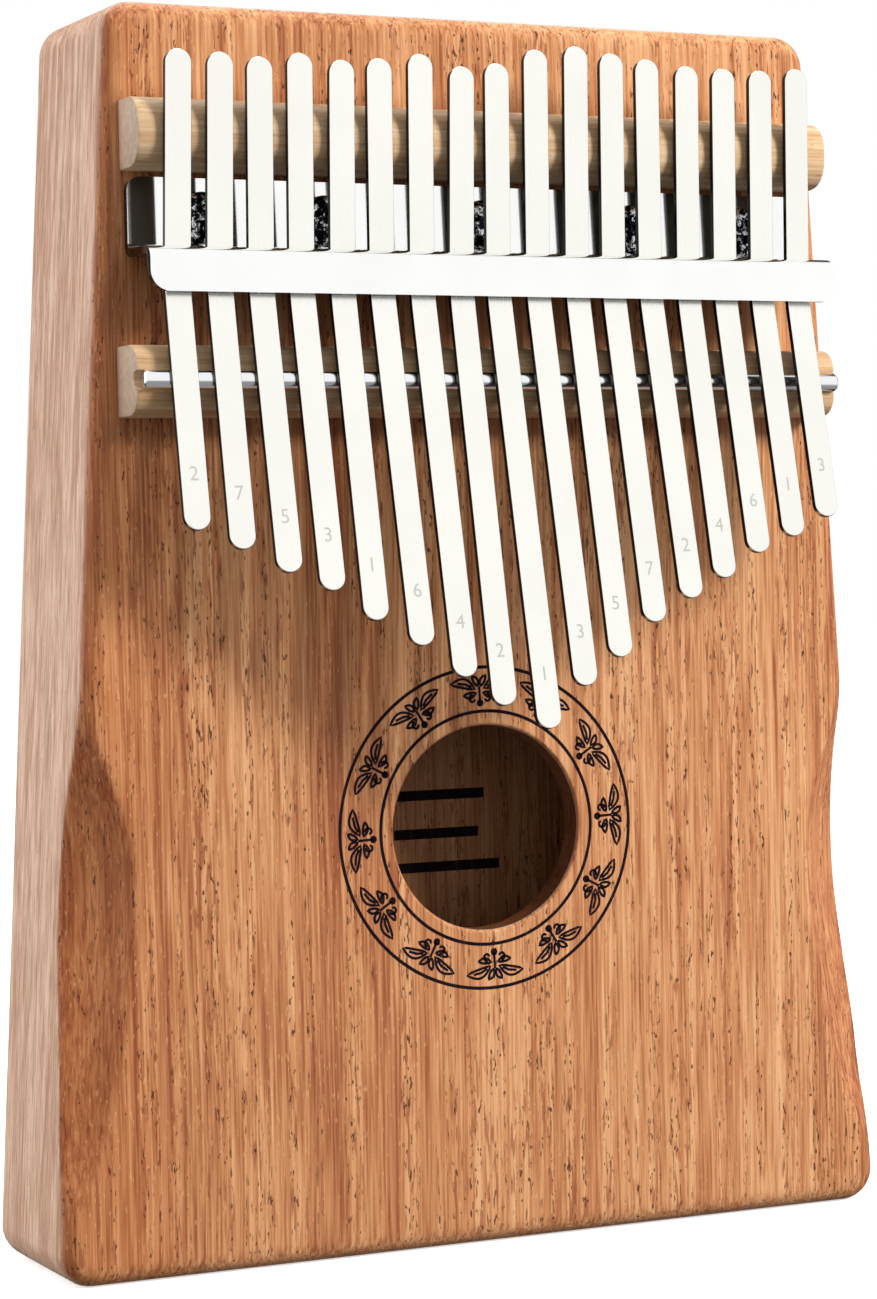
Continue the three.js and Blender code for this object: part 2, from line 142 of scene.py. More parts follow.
class Look:
    """A material's node tree, with short calls for the nodes used here."""

    def __init__(self, name, **shader):
        self.material = bpy.data.materials.new(name)
        self.material.use_nodes = True
        self.tree = self.material.node_tree
        self.shader = self.tree.nodes["Principled BSDF"]
        for key, value in shader.items():
            self.shader.inputs[key.replace("_", " ")].default_value = value

    def new(self, kind, inputs=(), **settings):
        return add_node(self.tree, kind, inputs, **settings)

    def link(self, socket, name):
        self.tree.links.new(socket, self.shader.inputs[name])

    def coordinates(self, scale, warp=0.0, warp_scale=12.0):
        """Object coordinates, stretched, with a slow sideways wander."""
        place = self.new("TexCoord").outputs["Object"]
        if warp:
            slow = self.new("TexNoise", {"Vector": place, "Scale": warp_scale, "Detail": 1.0})
            wander = {0: slow.outputs["Color"], 1: (0.5, 0.5, 0.5)}
            centred = self.new("VectorMath", wander, operation="SUBTRACT").outputs[0]
            shift = self.new("VectorMath", {0: centred, "Scale": warp}, operation="SCALE").outputs[0]
            place = self.new("VectorMath", {0: place, 1: shift}, operation="ADD").outputs[0]
        return self.new("Mapping", {"Vector": place, "Scale": scale}).outputs[0]

    def noise(self, vector, detail=2.0, roughness=0.5):
        settings = {"Vector": vector, "Scale": 1.0, "Detail": detail, "Roughness": roughness}
        return self.new("TexNoise", settings).outputs["Fac"]

    def grain(self, along, across, run, wander=0.0, detail=2.0, roughness=0.5):
        """Noise that runs along an axis: fine across it and long along it."""
        scale = tuple(run if axis == along else across for axis in range(3))
        return self.noise(self.coordinates(scale, wander), detail, roughness)

    def math(self, operation, a, b=0.0):
        return self.new("Math", {0: a, 1: b}, operation=operation).outputs[0]

    def plus(self, a, b):
        return self.math("ADD", a, b)

    def times(self, a, b):
        return self.math("MULTIPLY", a, b)

    def ramp(self, value, *stops):
        node = self.new("ValToRGB", {"Fac": value})
        marks = node.color_ramp.elements
        while len(marks) < len(stops):
            marks.new(0.5)
        for mark, (at, tone) in zip(marks, stops):
            mark.position = at
            mark.color = (*tone, 1.0)
        return node.outputs["Color"]

    def mask(self, value, low, high):
        """0 below a value, 1 above another, and smooth between them."""
        limits = {"Value": value, "From Min": low, "From Max": high}
        return self.new("MapRange", limits, interpolation_type="SMOOTHSTEP").outputs[0]

    def mix(self, share, a, b, blend="MIX"):
        node = self.new("Mix", {0: share, 6: a, 7: b}, data_type="RGBA", blend_type=blend)
        return node.outputs[2]

    def tint(self, tone, shade):
        return self.mix(1.0, tone, colour(*shade), "MULTIPLY")

    def facing(self):
        """The surface's direction, as its x, y and z parts."""
        return self.new("SeparateXYZ", {0: self.new("TexCoord").outputs["Normal"]}).outputs

    def bump(self, height, distance, strength=1.0):
        settings = {"Height": height, "Distance": distance, "Strength": strength}
        self.link(self.new("Bump", settings).outputs[0], "Normal")


def colour(*rgb):
    return (*rgb, 1.0)


def tinted(tones, *tint):
    return tuple(tuple(part * share for part, share in zip(tone, tint)) for tone in tones)


def wood(name, tones, along=2, pores=1.0, side=None, edge=None, end=None, streak_and_shade=None, roughness=0.5):
    """Open-pored wood with its grain along an axis. tones are its dark, middle and light colours.

    side is the dark and light tone of the narrow sides and ends, paler partly as their own cut and partly as
    painted light; edge the tint of faces between front and side, painted shade; end the dark and light tone of
    end grain; and streak_and_shade where a redder band starts and is full, and its tint, partly the wood's own
    streak and partly painted shade.
    """
    look = Look(name, Specular_IOR_Level=0.28)
    dark, middle, light = tones
    bands = look.grain(along, 55, 2.5, 0.006)
    stripes = look.grain(along, 700, 11, 0.003, roughness=0.6)
    fibres = look.grain(along, 2400, 60, 0.002, roughness=0.6)
    figure = look.plus(look.times(bands, 0.26), look.times(stripes, 0.34))
    figure = look.plus(figure, look.times(fibres, 0.40))
    tone = look.ramp(figure, (0.385, dark), (0.50, middle), (0.61, light))
    # A redder band along the left edge: partly the wood's own streak, partly painted shade where the tines' shadow
    # falls.
    if streak_and_shade:
        start, full, shade = streak_and_shade
        place = look.new("SeparateXYZ", {0: look.coordinates((1, 1, 1), 0.012, 25.0)}).outputs[0]
        share = look.mask(look.times(place, -1), start * MM, full * MM)
        tone = look.mix(share, tone, look.tint(tone, shade))
    facing = look.facing()
    sideways = look.math("ABSOLUTE", facing[0])
    # Partly painted light: the narrow sides and ends take paler tones, partly their own cut face and partly the
    # light that falls on them.
    if side:
        pale = look.mix(look.mask(figure, 0.40, 0.62), colour(*side[0]), colour(*side[1]))
        level = look.mask(look.math("ABSOLUTE", facing[1]), 0.3, 0.6)
        tone = look.mix(level, pale, tone)
        pores = look.times(look.plus(look.times(level, 0.75), 0.25), pores)
    # Painted shade: faces that turn to the front and to a side, the front's rounded edges and the scoop, are
    # tinted darker and redder.
    if edge:
        frontward = look.mask(look.times(facing[1], -1), 0.2, 0.45)
        edge_shade_share = look.times(look.mask(sideways, 0.2, 0.5), frontward)
        tone = look.mix(edge_shade_share, tone, look.tint(tone, edge))
    if end:
        cells = look.noise(look.coordinates((2600, 2600, 900)))
        cut_grain = look.mix(look.mask(cells, 0.3, 0.7), colour(*end[0]), colour(*end[1]))
        tone = look.mix(look.mask(sideways, 0.8, 0.95), tone, cut_grain)
    # Pores stand in rows: soft dashes, dark open holes and a few light flecks
    rows = look.mask(look.grain(along, 700, 18, detail=1.0), 0.40, 0.58)
    dashes = look.mask(look.grain(along, 2500, 230, 0.001, 1.0, 0.3), 0.54, 0.68)
    dashes = look.times(look.times(dashes, rows), pores)
    tone = look.mix(look.times(dashes, 0.75), tone, colour(*dark))
    short = look.mask(look.grain(along, 2700, 800, 0.0, 1.0, 0.4), 0.66, 0.70)
    long = look.mask(look.grain(along, 2700, 420, 0.0006, 1.0, 0.3), 0.68, 0.74)
    holes = look.math("MAXIMUM", short, look.times(long, 0.7))
    holes = look.times(look.times(holes, rows), pores)
    tone = look.mix(look.times(holes, 0.85), tone, colour(*(part * 0.16 for part in dark)))
    flecks = look.mask(look.grain(along, 2600, 700, 0.002, 1.0, 0.3), 0.68, 0.74)
    bright = colour(*(min(1, part * 1.2) for part in light))
    tone = look.mix(look.times(flecks, look.times(pores, 0.3)), tone, bright)
    look.link(tone, "Base Color")
    rough = look.plus(look.times(fibres, 0.2), roughness - 0.1)
    look.link(look.plus(rough, look.times(holes, 0.2)), "Roughness")
    look.bump(look.math("SUBTRACT", look.times(fibres, 0.35), holes), 0.00006, 0.6)
    return look.material


def metal(name, base, roughness, scratch, along=2, bump=0.0, box_side_shade=None, edges=None):
    """Worked metal: fine lines along an axis and a faint cloud.

    box_side_shade is a painted shade where it faces the box, dark itself and in its reflections; edges is a
    painted near-black tone where it faces sideways or down.
    """
    look = Look(name, Metallic=1.0)
    lines = look.grain(along, 2600, 40, 0.0, 3.0, 0.6)
    cloud = look.noise(look.coordinates((55, 55, 55)), 3.0)
    rough = look.plus(look.times(lines, scratch), roughness)
    dull = colour(*(part * 0.95 for part in base))
    tone = look.mix(look.mask(cloud, 0.3, 0.75), dull, colour(*base))
    # Painted shade: faces turned towards the box go dark, and a little rougher.
    if box_side_shade:
        away = look.mask(look.facing()[1], 0.2, 0.7)
        tone = look.mix(away, tone, colour(*box_side_shade))
        rough = look.plus(rough, look.times(away, 0.25))
    # Painted shade and reflection: faces turned sideways or down, such as the strip's bottom edge and the tines'
    # sides, go near black.
    if edges:
        facing = look.facing()
        dark_edge_facing = look.math("MAXIMUM", look.math("ABSOLUTE", facing[0]), look.times(facing[2], -1))
        tone = look.mix(look.mask(dark_edge_facing, 0.6, 0.9), tone, colour(*edges))
    look.link(tone, "Base Color")
    look.link(look.plus(rough, look.times(cloud, roughness * 0.5)), "Roughness")
    if bump:
        look.bump(lines, 0.00002, bump)
    return look.material


def dark_screw(name):
    """Black plating with bright specks."""
    look = Look(name, Metallic=1.0)
    grit = look.noise(look.coordinates((950, 950, 950)), 2.0, 0.6)
    black, grey, spark = (0.008, 0.010, 0.015), (0.04, 0.045, 0.055), (0.95, 0.96, 0.97)
    look.link(look.ramp(grit, (0.44, black), (0.525, grey), (0.555, spark)), "Base Color")
    look.link(look.plus(look.times(grit, 0.3), 0.1), "Roughness")
    look.bump(grit, 0.0003, 0.8)
    return look.material


def burnt(name):
    """Charred wood, for the burnt lines."""
    look = Look(name, Specular_IOR_Level=0.05)
    char = look.noise(look.coordinates((900, 900, 120)), 3.0, 0.7)
    black, brown, ember = (0.006, 0.004, 0.008), (0.018, 0.010, 0.012), (0.07, 0.035, 0.022)
    look.link(look.ramp(char, (0.35, black), (0.62, brown), (0.8, ember)), "Base Color")
    look.link(look.plus(look.times(char, 0.3), 0.6), "Roughness")
    look.bump(char, 0.00004, 0.5)
    return look.material


def pale_floor(name):
    look = Look(name, Roughness=0.7, Specular_IOR_Level=0.1, Emission_Strength=0.6)
    cloud = look.noise(look.coordinates((3, 3, 3)))
    paper = look.ramp(cloud, (0.3, (0.90, 0.90, 0.90)), (0.7, (0.93, 0.93, 0.93)))
    look.link(paper, "Base Color")
    look.link(paper, "Emission Color")
    return look.material


MAHOGANY = ((0.32, 0.093, 0.036), (0.60, 0.26, 0.108), (0.80, 0.43, 0.215))
PALE_WOOD = ((0.50, 0.29, 0.14), (0.67, 0.44, 0.245), (0.78, 0.57, 0.36))
# the narrow sides' tones: partly their cut face, partly painted light
SIDE_TONES_AND_LIGHT = ((0.48, 0.26, 0.165), (0.79, 0.55, 0.41))
END_GRAIN = ((0.40, 0.28, 0.20), (0.52, 0.38, 0.28))
# painted shade for the front's rounded edges and the scoop
EDGE_SHADE_TINT = (0.86, 0.74, 0.66)
# the left band starts and is full this far left of the middle, in mm, and its tint: wood streak and painted shade
LEFT_STREAK_AND_SHADE = (48, 60, (0.88, 0.76, 0.67))

body_wood = wood("mahogany_satin", MAHOGANY, side=SIDE_TONES_AND_LIGHT, edge=EDGE_SHADE_TINT, streak_and_shade=LEFT_STREAK_AND_SHADE)
# Painted shade: an unfinished, much darker copy of the body wood for the cavity's walls and the sound hole's wall.
inside_shade_wood = wood("mahogany_inside_painted_shade", tinted(MAHOGANY, 0.27, 0.20, 0.15), roughness=0.75)
back_wood = wood("mahogany_back", tinted(MAHOGANY, 0.9, 0.86, 0.82))
bridge_wood = wood("beech_satin", PALE_WOOD, along=0, pores=0.3, end=END_GRAIN)
# Its sideways and downward faces carry painted dark edges.
chrome = metal("chrome_plate", (0.95, 0.955, 0.94), 0.045, 0.03, along=0, edges=(0.05, 0.048, 0.045))
rod_metal = metal("ground_steel", (0.88, 0.89, 0.90), 0.10, 0.08, along=0)
# Its underside and its sideways faces are painted dark: painted shade and reflection.
tine_metal = metal(
    "spring_steel", (0.97, 0.965, 0.905), 0.17, 0.10,
    bump=0.3, box_side_shade=(0.10, 0.085, 0.07), edges=(0.03, 0.028, 0.026),
)
mark_metal = metal("etched_mark", (0.74, 0.73, 0.69), 0.45, 0.1)
screw_metal = dark_screw("black_nickel")
burn = burnt("burnt_line")


# ---------- mesh helpers ----------

def make(name, points, faces, materials, sharp=35, slot=None, ride=True):
    """A named mesh piece from points in millimetres, smooth but for edges sharper than an angle."""
    mesh = bpy.data.meshes.new(name)
    mesh.from_pydata((np.asarray(points, float) * MM).tolist(), [], [list(face) for face in faces])
    mesh.validate()
    piece = bpy.data.objects.new(name, mesh)
    scene.collection.objects.link(piece)
    for material in materials:
        mesh.materials.append(material)
    smooth(piece, sharp)
    if ride:
        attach(piece, BODY)
    return piece


def smooth(piece, sharp=35):
    mesh = piece.data
    mesh.polygons.foreach_set("use_smooth", [True] * len(mesh.polygons))
    mesh.set_sharp_from_angle(angle=math.radians(sharp))
    mesh.update()


def evaluated_mesh(piece):
    """A new mesh of a piece as its modifiers or its curve leave it."""
    return bpy.data.meshes.new_from_object(piece.evaluated_get(bpy.context.evaluated_depsgraph_get()))


def bake(piece):
    """Applies a piece's modifiers to its mesh."""
    mesh = evaluated_mesh(piece)
    piece.modifiers.clear()
    piece.data = mesh


def cut(piece, points, faces):
    """Cuts closed solids out of a piece."""
    cutter = make("cutter", points, faces, piece.data.materials[:1], ride=False)
    difference = piece.modifiers.new("cut", "BOOLEAN")
    difference.object, difference.operation, difference.solver = cutter, "DIFFERENCE", "EXACT"
    bake(piece)
    bpy.data.objects.remove(cutter)
    smooth(piece)


def weight_normals(piece):
    piece.modifiers.new("normals", "WEIGHTED_NORMAL").keep_sharp = True


def ring_faces(rings, count, closed_ends=True):
    """Faces between rings of count points, each joined to the next, with a face on each end."""
    faces = []
    for low in range(0, (rings - 1) * count, count):
        high = low + count
        for i in range(count):
            after = (i + 1) % count
            faces.append((low + i, low + after, high + after, high + i))
    if closed_ends:
        faces += [tuple(range(count))[::-1], tuple(range((rings - 1) * count, rings * count))]
    return faces


def outward(points, faces):
    """The faces, all turned if the closed mesh that they make is inside out."""
    at = np.asarray(points, float)
    volume = 0.0
    for face in faces:
        for i in range(1, len(face) - 1):
            volume += np.dot(at[face[0]], np.cross(at[face[i]], at[face[i + 1]]))
    return faces if volume > 0 else [tuple(face)[::-1] for face in faces]


def solid(rings):
    """Points and faces of a closed solid from rings of points, each joined to the next."""
    points = np.concatenate(rings)
    return points, outward(points, ring_faces(len(rings), len(rings[0])))


def joined(parts):
    """Points and faces of several meshes as one."""
    points, faces = [], []
    for part_points, part_faces in parts:
        faces += [tuple(i + len(points) for i in face) for face in part_faces]
        points += list(part_points)
    return points, faces


def arc(u, v, radius, start, end, steps):
    angles = np.linspace(start, end, steps + 1)
    return list(zip(u + radius * np.cos(angles), v + radius * np.sin(angles)))


def circle(u, v, radius, steps):
    return arc(u, v, radius, 0, 2 * math.pi, steps)[:steps]


def rectangle(left, right, bottom, top):
    return [(left, bottom), (right, bottom), (right, top), (left, top)]


def across_x(outline, x):
    """An outline of (height above the front face, z) placed at x."""
    return np.array([(x, FRONT - height, z) for height, z in outline])


def across_y(outline, y):
    """An outline of (x, z) placed at y."""
    return np.array([(x, y, z) for x, z in outline])


def prism_x(outline, low, high):
    return solid([across_x(outline, x) for x in (low, high)])


def prism_y(outline, low, high):
    return solid([across_y(outline, y) for y in (low, high)])


# ---------- soundbox ----------

def half_width(z):
    return BOTTOM_HALF - (BOTTOM_HALF - TOP_HALF) * z / HEIGHT


def body_outline(inset, radius, top):
    """The body's outline, drawn in by an inset, with rounded corners."""
    low, high = inset + radius, top - radius
    right = arc(half_width(low) - inset - radius, low, radius, -QUARTER, 0, 8)
    right += arc(half_width(high) - inset - radius, high, radius, 0, QUARTER, 8)
    return right + [(-x, z) for x, z in reversed(right)]


def scoop_at(z):
    """How far the scoop's plane is from the corner, and its reach across the front and down the side."""
    heights, spans = SCOOP[:, 0], SCOOP[:, 1:]
    slopes = np.gradient(spans, heights, axis=0)
    inside = min(max(z, heights[0]), heights[-1])
    i = min(max(int(np.searchsorted(heights, inside)) - 1, 0), len(heights) - 2)
    step = heights[i + 1] - heights[i]
    t = (inside - heights[i]) / step
    # a smooth curve through the two nearest heights
    face, side = (
        (2 * t**3 - 3 * t**2 + 1) * spans[i] + (t**3 - 2 * t**2 + t) * step * slopes[i]
        + (3 * t**2 - 2 * t**3) * spans[i + 1] + (t**3 - t**2) * step * slopes[i + 1]
    )
    return face * side / math.hypot(face, side) - SCOOP_RUNOUT * abs(z - inside), face, side


def soft_least(a, b):
    """The lesser of two lengths, with a soft change from one to the other."""
    low = min(a, b)
    nearness = sum(math.exp((low - length) / RIM_SOFTNESS) for length in (a, b))
    return low - RIM_SOFTNESS * math.log(nearness)


def corner_section(z, angles):
    """Points round the front corner, as (in from the side, back from the front), front to side."""
    away, face, side = scoop_at(z)
    lean = math.atan2(face, side)
    normal_u, normal_v = math.cos(lean), math.sin(lean)
    hollow = SCOOP_HOLLOW * min(1, math.hypot(face, side) / FULL_SPAN)
    points = []
    for angle in angles:
        du, dv = math.sin(angle), math.cos(angle)
        # how far the rounded corner itself is
        to_corner = min(REACH / max(du, 1e-9), REACH / max(dv, 1e-9))
        if REACH - to_corner * du < FRONT_ROUND and REACH - to_corner * dv < FRONT_ROUND:
            offset = REACH - FRONT_ROUND
            along = offset * (du + dv)
            to_corner = along + math.sqrt(max(along**2 - 2 * offset**2 + FRONT_ROUND**2, 0))
        # how far the scoop's plane is, slightly hollow
        to_plane = (REACH * (normal_u + normal_v) - away) / (du * normal_u + dv * normal_v)
        place = min(max((REACH - to_plane * du) / max(face, 0.1), 0), 1)
        to_plane -= hollow * 4 * place * (1 - place)
        nearest = soft_least(to_corner, to_plane)
        points.append((REACH - nearest * du, REACH - nearest * dv))
    return points


def rounded(inset, radius):
    """How far a rounded edge has dropped, an inset in from the side."""
    return radius - math.sqrt(max(radius**2 - (radius - min(inset, radius)) ** 2, 0))


def body_slice(z):
    """One level ring of the body, from the front's middle, round the right side and back."""
    near = min(z, HEIGHT - z)
    wide = half_width(z)
    hub = half_width(CORNER if z < HEIGHT / 2 else HEIGHT - CORNER) - CORNER

    def edge(inset):
        if near >= CORNER:
            return wide - inset
        return hub + math.sqrt(max((CORNER - inset) ** 2 - (CORNER - near) ** 2, 0))

    half = []
    limit = min(near, FRONT_ROUND)
    for inset, depth in corner_section(z, np.linspace(0, QUARTER, 52)):
        if near >= CORNER:
            half.append((wide - inset, FRONT + depth))
        elif inset < limit:
            drop = depth if depth > FRONT_ROUND else rounded(inset, FRONT_ROUND)
            half.append((edge(inset), FRONT + drop))
        else:
            share = (inset - limit) / (REACH - limit)
            x = edge(limit) - share * (edge(limit) - wide + REACH)
            half.append((x, FRONT + rounded(limit, FRONT_ROUND)))
    half += [(edge(0), FRONT + depth) for depth in (15, 19, 23)]
    limit = min(near, BACK_ROUND)
    for angle in np.linspace(0, QUARTER, 7):
        inset = limit * (1 - math.cos(angle))
        half.append((edge(inset), BACK - rounded(inset, BACK_ROUND)))
    (front_x, front_y), (back_x, back_y) = half[0], half[-1]
    half = [(0, front_y), (front_x * 0.5, front_y), *half, (back_x * 0.5, back_y), (0, back_y)]
    ring = half + [(-x, y) for x, y in reversed(half[1:-1])]
    return np.array([(x, y, z) for x, y in ring])


def is_inside(point):
    """Whether a point of the soundbox is on the cavity's wall or the sound hole's."""
    x, y, z = point / MM
    in_depth = CAVITY_FRONT - 0.01 < y < BACK - PAST
    in_height = WALL - PAST < z < CAVITY_TOP + PAST
    in_width = abs(x) < half_width(z) - WALL + 0.3
    behind_rim = FRONT + HOLE_ROUND < y < CAVITY_FRONT
    in_hole = behind_rim and math.hypot(x, z - HOLE_Z) < HOLE_RADIUS + 0.1
    return in_depth and in_height and in_width or in_hole


def hole_cutter():
    """The sound hole with a rounded front rim."""
    rim = [(FRONT - PAST, HOLE_ROUND)]
    for angle in np.linspace(0, QUARTER, 6):
        rim.append((FRONT + HOLE_ROUND * (1 - math.cos(angle)), HOLE_ROUND * (1 - math.sin(angle))))
    rim.append((CAVITY_FRONT + PAST, 0))
    return solid([across_y(circle(0, HOLE_Z, HOLE_RADIUS + grow, 144), y) for y, grow in rim])


def make_soundbox():
    end = [0, 0.1, 0.3, 0.6, 1.0, 1.5, 2.1, 3.0, 3.6, 4.3, 5.0]
    heights = [*end, *np.linspace(7, HEIGHT - 7, 84), *(HEIGHT - z for z in reversed(end))]
    shell = solid([body_slice(z) for z in heights])
    soundbox = make("soundbox_shell", *shell, [body_wood], slot="mahogany", ride=False)
    cavity = body_outline(WALL, CAVITY_CORNER, CAVITY_TOP)
    cut(soundbox, *prism_y(cavity, CAVITY_FRONT, BACK + PAST))
    recess = body_outline(PANEL_INSET, PANEL_CORNER, HEIGHT - PANEL_INSET)
    cut(soundbox, *prism_y(recess, BACK - PANEL_THICKNESS, BACK + PAST))
    cut(soundbox, *hole_cutter())
    soundbox.data.materials.clear()
    for material in (body_wood, inside_shade_wood):
        soundbox.data.materials.append(material)
    # the cavity's and the sound hole's walls take the darker wood: painted shade
    for face in soundbox.data.polygons:
        face.material_index = 1 if is_inside(face.center) else 0
    weight_normals(soundbox)
    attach(soundbox, BODY)
    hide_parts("soundbox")


def paint_back_panel():
    materials = frame["nodes"]["back_panel"].data.materials
    materials.clear()
    materials.append(back_wood)


# ---------- rosette and inner bars ----------

def ribbon(path, width, closed, lift):
    """A thin flat line along a path of (x, z) points on the front face."""
    path = np.array(path, float)
    ahead = np.roll(path, -1, axis=0) - np.roll(path, 1, axis=0)
    if not closed:
        ahead[0], ahead[-1] = path[1] - path[0], path[-1] - path[-2]
    ahead /= np.linalg.norm(ahead, axis=1, keepdims=True)
    across = np.stack([-ahead[:, 1], ahead[:, 0]], 1) * width / 2
    rings = [
        [(x, FRONT - lift, z), (x + 2 * dx, FRONT - lift, z + 2 * dz),
         (x + 2 * dx, FRONT + SUNK, z + 2 * dz), (x, FRONT + SUNK, z)]
        for (x, z), (dx, dz) in zip(path - across, across)
    ]
    if not closed:
        return solid(rings)
    points = np.concatenate(rings)
    faces = ring_faces(len(rings) + 1, 4, closed_ends=False)
    return points, outward(points, [tuple(i % len(points) for i in face) for face in faces])


def leaf(start, end, width, bend):
    """A closed pointed leaf between two points, bowed to one side."""
    start, end = np.array(start, float), np.array(end, float)
    along = end - start
    across = np.array([-along[1], along[0]]) / np.linalg.norm(along)
    share = np.linspace(0, 1, 9)
    middle = start + np.outer(share, along) + np.outer(bend * np.sin(math.pi * share), across)
    out = np.outer(width / 2 * np.sin(math.pi * share) ** 0.8, across)
    return np.concatenate([middle + out, (middle - out)[-2:0:-1]])


def curl(centre, radius, start, turn):
    """A stroke that winds in on itself, from an angle and through a turn."""
    share = np.linspace(0, 1, 12)
    angle, reach = start + turn * share, radius * (1 - 0.7 * share)
    return np.stack([centre[0] + reach * np.cos(angle), centre[1] + reach * np.sin(angle)], 1)


def sprig_strokes():
    """A sprig's strokes, and whether each is closed: a bud, long and short leaves, and curled tendrils."""
    strokes = []
    for hand in (-1, 1):
        strokes += [
            (leaf((0.75 * hand, 0.05), (4.7 * hand, 1.0), 1.35, 0.5 * hand), True),
            ([(1.3 * hand, 0.35), (2.3 * hand, 0.85), (3.6 * hand, 1.05)], False),
            (leaf((0.6 * hand, -0.55), (2.7 * hand, -0.85), 0.8, -0.2 * hand), True),
            (curl((1.15 * hand, -1.45), 0.75, QUARTER, -1.5 * math.pi * hand), False),
            (leaf((0.25 * hand, 0.45), (1.15 * hand, 2.0), 0.75, 0.15 * hand), True),
        ]
    strokes.append(([(0, -2.3), (0, -1.4), (0, -0.4), (0, 0.4)], False))
    strokes.append((circle(0, -2.1, 0.38, 10), True))
    return strokes


def on_rosette(path, angle):
    """A motif's path of (across, outward) points, turned to its place round the sound hole."""
    cos, sin = math.cos(angle), math.sin(angle)
    reach = [(u, MOTIF_RADIUS + v) for u, v in path]
    return [(r * cos - u * sin, HOLE_Z + r * sin + u * cos) for u, r in reach]


def make_rosette():
    rings = [ribbon(circle(0, HOLE_Z, radius, 160), RING_WIDTH, True, RING_LIFT) for radius in RING_RADII]
    make("rosette_rings", *joined(rings), [burn])
    sprigs = []
    for i in range(MOTIF_COUNT):
        angle = math.radians(MOTIF_TURN - 90 + 360 / MOTIF_COUNT * i)
        for path, closed in sprig_strokes():
            sprigs.append(ribbon(on_rosette(path, angle), MOTIF_STROKE, closed, MOTIF_LIFT))
    make("rosette_leaves", *joined(sprigs), [burn])


def make_inner_bars():
    """Plain bars on the inner wall, seen through the hole."""
    wall = box("back_panel")[0][1]
    bars = []
    for left, right, z in BARS:
        outline = rectangle(left, right, z - BAR_HALF, z + BAR_HALF)
        bars.append(prism_y(outline, wall - BAR_LIFT, wall + SUNK))
    make("inner_bars", *joined(bars), [burn])


# ---------- bridges and rod ----------

def shrunk(outline, by, centre):
    """An outline drawn in towards a centre by a distance."""
    points, middle = np.array(outline, float), np.array(centre, float)
    reach = np.linalg.norm(points - middle, axis=1, keepdims=True)
    return middle + (points - middle) * (1 - by / reach)


def bar(name, outline, half, centre, edge):
    """A wooden bar along X with softened ends, which stands for the CAD node it is named after."""
    steps = [(half, edge), (half - edge * 0.3, edge * 0.3), (half - edge, 0)]
    rings = [across_x(shrunk(outline, inset, centre), -x) for x, inset in steps]
    rings += [across_x(shrunk(outline, inset, centre), x) for x, inset in reversed(steps)]
    piece = make(name + "_bar", *solid(rings), [bridge_wood], slot="bridge_wood")
    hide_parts(name)


def make_upper_bridge():
    low, high = box("upper_bridge")
    top, middle, half = FRONT - low[1], (low[2] + high[2]) / 2, (high[2] - low[2]) / 2
    crown = []
    for u, v in arc(0, 0, 1, -QUARTER, QUARTER, 28):
        rise, span = abs(u) ** CROWN_POWER, math.copysign(abs(v) ** CROWN_POWER, v)
        crown.append((BRIDGE_STRAIGHT + (top - BRIDGE_STRAIGHT) * rise, middle + half * span))
    section = [(0, middle - half), *crown, (0, middle + half)]
    bar("upper_bridge", section, high[0], (top / 2, middle), 0.5)


def make_lower_bridge():
    low, high = box("lower_bridge")
    top, half = FRONT - low[1], (high[2] - low[2]) / 2
    corner = ROD_Z + half - BRIDGE_SHOULDER
    shoulder = arc(top - BRIDGE_SHOULDER, corner, BRIDGE_SHOULDER, QUARTER, 0, 10)
    radius = ROD_RADIUS + GROOVE_FIT
    opening = math.acos(min(1, (ROD_CENTRE - top) / radius))
    hollow = arc(ROD_CENTRE, ROD_Z, radius, math.pi - opening, math.pi + opening, 16)
    section = [
        (0, ROD_Z + half),
        *shoulder,
        *((min(height, top), z) for height, z in hollow),
        *((height, 2 * ROD_Z - z) for height, z in reversed(shoulder)),
        (0, ROD_Z - half),
    ]
    bar("lower_bridge", section, high[0], (top / 2, ROD_Z), 0.4)


def make_rod():
    ends = [(0, 0.45), (0.12, 0.18), (0.4, 0)]
    steps = [(rod_low[0] + x, inset) for x, inset in ends]
    steps += [(rod_high[0] - x, inset) for x, inset in reversed(ends)]
    rings = [across_x(circle(ROD_CENTRE, ROD_Z, ROD_RADIUS - inset, 40), x) for x, inset in steps]
    rod = make("bridge_rod_bar", *solid(rings), [rod_metal], slot="rod_steel")
    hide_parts("bridge_rod")


# ---------- the tines' lines ----------

def tine_start(number):
    """The x of a tine's middle over the rod, from its joint."""
    joint = next(joint for joint in frame["joints"] if joint["name"] == f"tine_{number:02d}_pluck")
    return joint["pos_m"][0] / MM


def tine_lean(number):
    """How far a tine's middle moves to the right for each millimetre up, from its tail's box."""
    low, high = box(f"tine_{number:02d}_tail")
    middle_z = (low[2] + high[2] - TINE_WIDTH / 2) / 2
    return ((low[0] + high[0]) / 2 - tine_start(number)) / (middle_z - ROD_Z)


START = {number: tine_start(number) for number in TINES}
LEAN = {number: tine_lean(number) for number in TINES}


def tine_line(s):
    """Where a tine's middle is, s up from the rod: its z, its height and its slope."""
    slope = min(RISE, max(-TAIL_RISE, RISE - (s - BEND_START) / BEND_RADIUS))
    below, above = min(s, BEND_START), max(s - BEND_END, 0)
    bent_up = BEND_RADIUS * (math.sin(RISE) - math.sin(slope))
    bent_out = BEND_RADIUS * (math.cos(slope) - math.cos(RISE))
    z = ROD_Z + below * math.cos(RISE) + bent_up + above * math.cos(TAIL_RISE)
    height = LINE_HEIGHT - below * math.sin(RISE) - bent_out + above * math.sin(TAIL_RISE)
    return z, height, slope


def tail_length(z):
    return BEND_END + (z - tine_line(BEND_END)[0]) / math.cos(TAIL_RISE)


def tine_x(number, z):
    """The x of a tine's middle at a height."""
    return START[number] + (z - ROD_Z) * LEAN[number]


# ---------- clamp bracket and screws ----------

